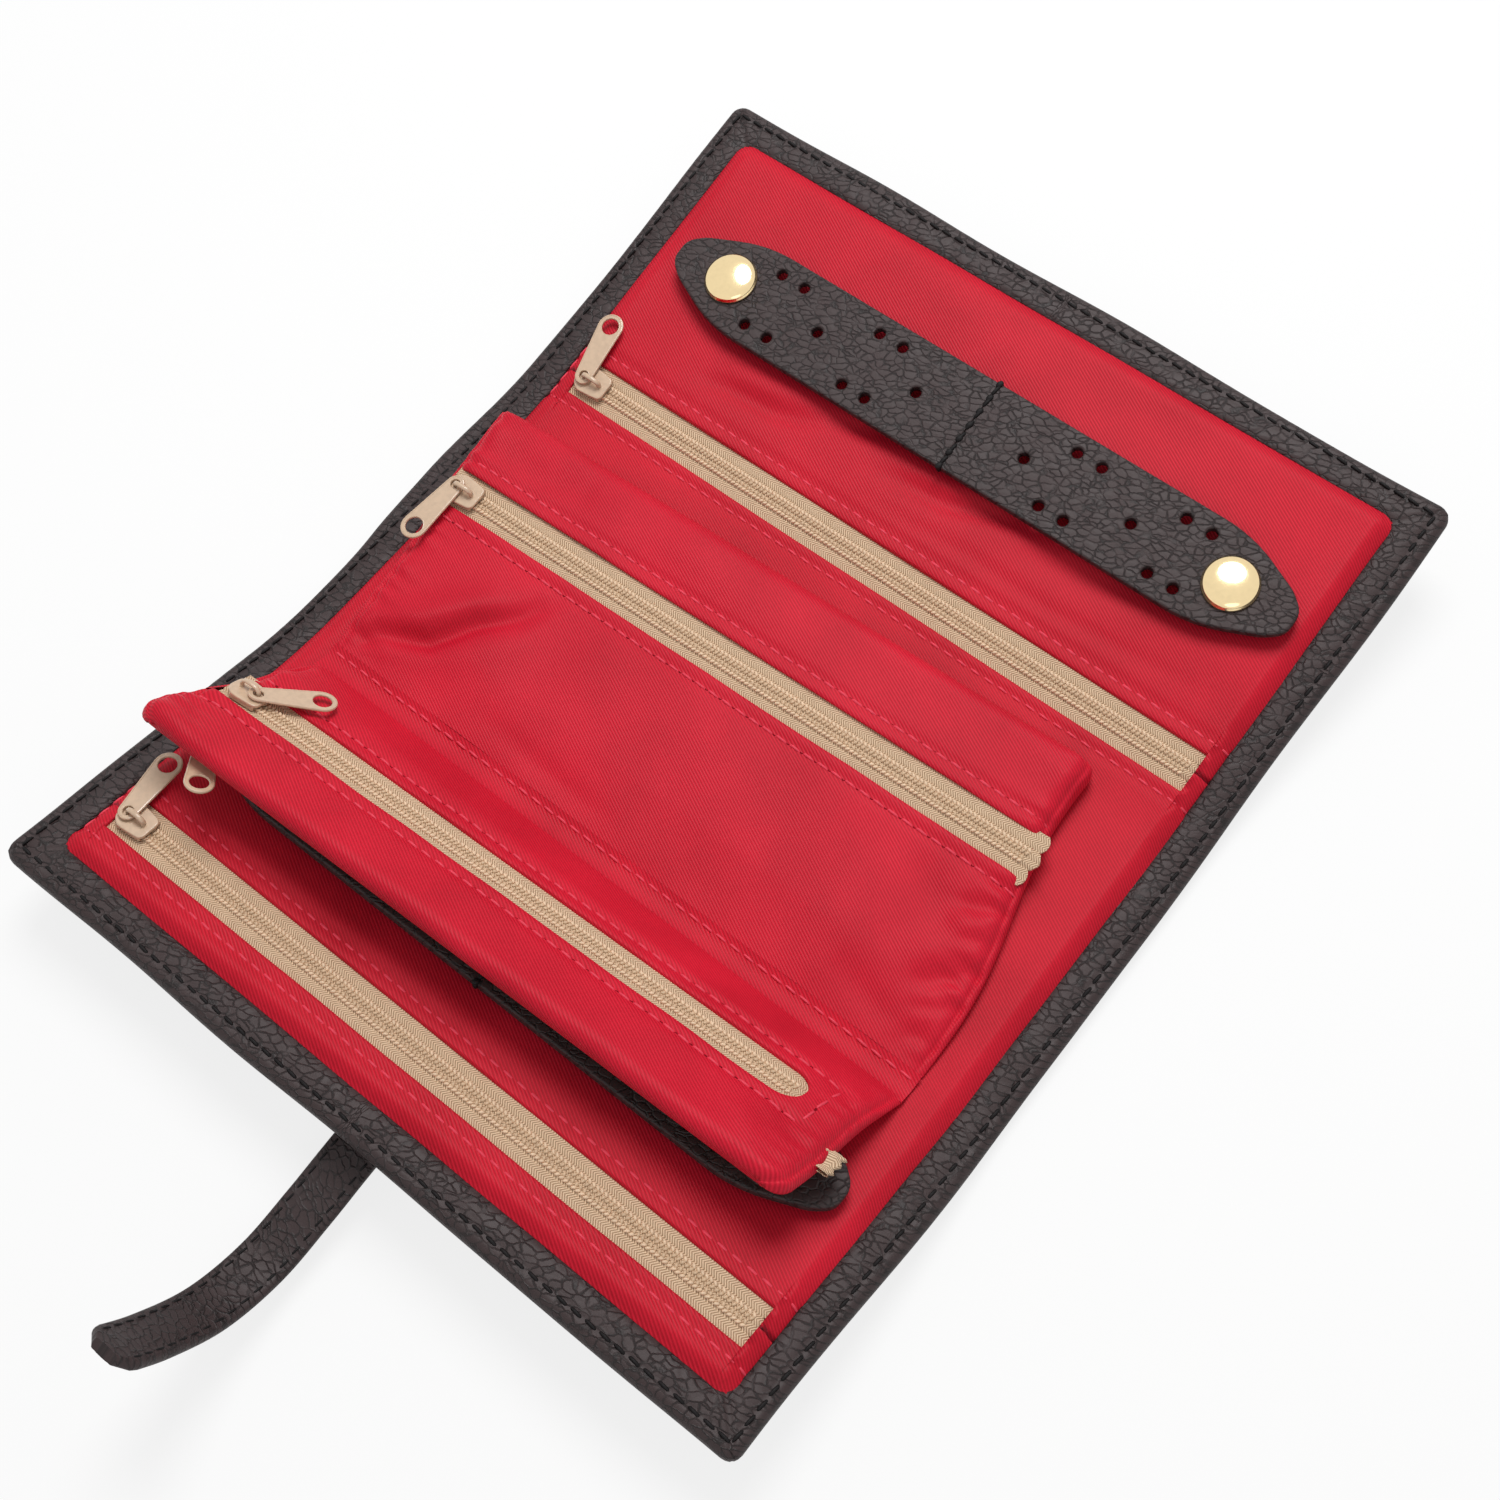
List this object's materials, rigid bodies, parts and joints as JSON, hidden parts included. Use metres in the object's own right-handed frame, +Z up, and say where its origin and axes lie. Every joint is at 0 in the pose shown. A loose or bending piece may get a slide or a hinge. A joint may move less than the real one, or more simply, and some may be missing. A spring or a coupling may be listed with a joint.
{
  "type": "folding jewellery case",
  "caption": "Folding leather jewellery case, lying open, with zipped flap pockets, zipped pouches hinged at the fold, snapped earring straps and a closing strap",
  "frame": {"origin": "centre of the underside of the base panel along X, on the table, with the base panel from y = -41.75 mm to y = 31.75 mm", "axes": "+X along the folds, to the right seen with the inner flap at the far side; +Y from the outer flap, with the closing strap, to the inner flap; +Z up from the table"},
  "size_m": [0.19, 0.292, 0.0375],
  "materials": {
    "leather": "pebbled charcoal-black, semi-matte",
    "red_lining": "red diagonal twill with a soft sheen",
    "pocket_cloth": "plain red, matt",
    "zip_tape": "beige woven tape with a beige coil",
    "painted_zinc": "smooth beige paint",
    "pale_brass": "polished pale gold",
    "steel": "plain",
    "grey_board": "plain",
    "foam": "soft foam"
  },
  "bodies": {
    "base": {"base_leather": "leather", "base_foam": "foam", "base_lining": "red_lining", "closing_plate": "steel", "inner_fold_leather": "leather", "outer_fold_leather": "leather"},
    "inner_flap": {"inner_flap_leather": "leather", "inner_flap_board": "grey_board", "inner_flap_pocket": "pocket_cloth", "inner_flap_lining": "red_lining", "inner_flap_zip_tape_far": "zip_tape", "inner_flap_zip_tape_near": "zip_tape", "inner_strap_stud_left": "steel", "inner_strap_stud_right": "steel"},
    "inner_strap_left_half": {"inner_strap_left": "leather", "inner_strap_cap_left": "pale_brass", "inner_strap_socket_left": "steel"},
    "inner_strap_right_half": {"inner_strap_right": "leather", "inner_strap_cap_right": "pale_brass", "inner_strap_socket_right": "steel"},
    "large_pouch": {"large_pouch_back": "red_lining", "large_pouch_front": "red_lining", "large_pouch_edge_strip": "red_lining", "large_pouch_zip_tape_far": "zip_tape", "large_pouch_zip_tape_near": "zip_tape"},
    "outer_flap": {"outer_flap_leather": "leather", "outer_flap_board": "grey_board", "outer_flap_pocket": "pocket_cloth", "outer_flap_lining": "red_lining", "outer_flap_zip_tape_far": "zip_tape", "outer_flap_zip_tape_near": "zip_tape", "outer_strap_left": "leather", "outer_strap_cap_left": "pale_brass", "outer_strap_socket_left": "steel", "outer_strap_stud_left": "steel", "outer_strap_right": "leather", "outer_strap_cap_right": "pale_brass", "outer_strap_socket_right": "steel", "outer_strap_stud_right": "steel", "closing_strap_root": "leather"},
    "small_pouch": {"small_pouch_back": "red_lining", "small_pouch_front": "red_lining", "small_pouch_zip_tape_far": "zip_tape", "small_pouch_zip_tape_near": "zip_tape", "back_pouch_zip_tape_far": "zip_tape", "back_pouch_zip_tape_near": "zip_tape"},
    "closing_strap_length": {"closing_strap": "leather"},
    "closing_strap_tip": {"closing_strap_end": "leather", "closing_magnet": "steel"},
    "inner_flap_zip_runner": {"inner_flap_zip_slider": "painted_zinc"},
    "inner_flap_zip_handle": {"inner_flap_zip_pull": "painted_zinc"},
    "outer_flap_zip_runner": {"outer_flap_zip_slider": "painted_zinc"},
    "outer_flap_zip_handle": {"outer_flap_zip_pull": "painted_zinc"},
    "large_pouch_zip_runner": {"large_pouch_zip_slider": "painted_zinc"},
    "large_pouch_zip_handle": {"large_pouch_zip_pull": "painted_zinc"},
    "small_pouch_zip_runner": {"small_pouch_zip_slider": "painted_zinc"},
    "small_pouch_zip_handle": {"small_pouch_zip_pull": "painted_zinc"},
    "back_pouch_zip_runner": {"back_pouch_zip_slider": "painted_zinc"},
    "back_pouch_zip_handle": {"back_pouch_zip_pull": "painted_zinc"}
  },
  "joints": [
    {"name": "inner_fold", "type": "hinge", "parent": "base", "child": "inner_flap", "pos_m": [0, 0.032, 0.0135], "axis": [-1, 0, 0], "range_deg": [-168.2, 11.8], "deforming": ["inner_fold_leather"]},
    {"name": "outer_fold", "type": "hinge", "parent": "base", "child": "outer_flap", "pos_m": [0, -0.042, 0.0265], "axis": [1, 0, 0], "range_deg": [-167.4, 6], "deforming": ["outer_fold_leather"]},
    {"name": "large_pouch_seam", "type": "hinge", "parent": "base", "child": "large_pouch", "pos_m": [0, -0.041, 0.0073], "axis": [1, 0, 0], "range_deg": [0, 70]},
    {"name": "small_pouch_seam", "type": "hinge", "parent": "outer_flap", "child": "small_pouch", "pos_m": [0, -0.04765, 0.00809], "axis": [-1, 0, 0], "range_deg": [-1.5, 40]},
    {"name": "inner_strap_left_lift", "type": "hinge", "parent": "inner_flap", "child": "inner_strap_left_half", "pos_m": [0.0015, 0.07779, 0.02072], "axis": [0, 0.9789, 0.2045], "range_deg": [0, 80]},
    {"name": "inner_strap_right_lift", "type": "hinge", "parent": "inner_flap", "child": "inner_strap_right_half", "pos_m": [0.0015, 0.07779, 0.02072], "axis": [0, -0.9789, -0.2045], "range_deg": [0, 80]},
    {"name": "closing_strap_root_bend", "type": "hinge", "parent": "outer_flap", "child": "closing_strap_length", "pos_m": [0, -0.0856, 0.00765], "axis": [-1, 0, 0], "range_deg": [-4.5, 7]},
    {"name": "closing_strap_tip_bend", "type": "hinge", "parent": "closing_strap_length", "child": "closing_strap_tip", "pos_m": [0, -0.1455, 0.0064], "axis": [-1, 0, 0], "range_deg": [-20, 35]},
    {"name": "inner_flap_zip_slide", "type": "slide", "parent": "inner_flap", "child": "inner_flap_zip_runner", "axis": [1, 0, 0], "range_m": [0, 0.1556]},
    {"name": "inner_flap_zip_swing", "type": "hinge", "parent": "inner_flap_zip_runner", "child": "inner_flap_zip_handle", "pos_m": [-0.0803, 0.04341, 0.00776], "axis": [0, -0.2045, 0.9789], "range_deg": [-42, 80]},
    {"name": "outer_flap_zip_slide", "type": "slide", "parent": "outer_flap", "child": "outer_flap_zip_runner", "axis": [1, 0, 0], "range_m": [0, 0.1556]},
    {"name": "outer_flap_zip_swing", "type": "hinge", "parent": "outer_flap_zip_runner", "child": "outer_flap_zip_handle", "pos_m": [-0.0803, -0.098, 0.01755], "axis": [0, 0.2181, 0.9759], "range_deg": [-43, 79]},
    {"name": "large_pouch_zip_slide", "type": "slide", "parent": "large_pouch", "child": "large_pouch_zip_runner", "axis": [0.9996, 0.0273, 0.0021], "range_m": [0, 0.1434]},
    {"name": "large_pouch_zip_swing", "type": "hinge", "parent": "large_pouch_zip_runner", "child": "large_pouch_zip_handle", "pos_m": [-0.08208, 0.00246, 0.01183], "axis": [0, -0.077, 0.997], "range_deg": [-85, 37]},
    {"name": "small_pouch_zip_slide", "type": "slide", "parent": "small_pouch", "child": "small_pouch_zip_runner", "axis": [0.9993, 0.0316, -0.0217], "range_m": [0, 0.1344]},
    {"name": "small_pouch_zip_swing", "type": "hinge", "parent": "small_pouch_zip_runner", "child": "small_pouch_zip_handle", "pos_m": [-0.0741, -0.06503, 0.02381], "axis": [0, 0.5666, 0.824], "range_deg": [-90, 77]},
    {"name": "back_pouch_zip_slide", "type": "slide", "parent": "small_pouch", "child": "back_pouch_zip_runner", "axis": [0.9998, 0.0163, -0.0106], "range_m": [0, 0.1434]},
    {"name": "back_pouch_zip_swing", "type": "hinge", "parent": "back_pouch_zip_runner", "child": "back_pouch_zip_handle", "pos_m": [-0.07585, -0.07549, 0.02761], "axis": [0, -0.5461, -0.8377], "range_deg": [-50, 70]}
  ]
}
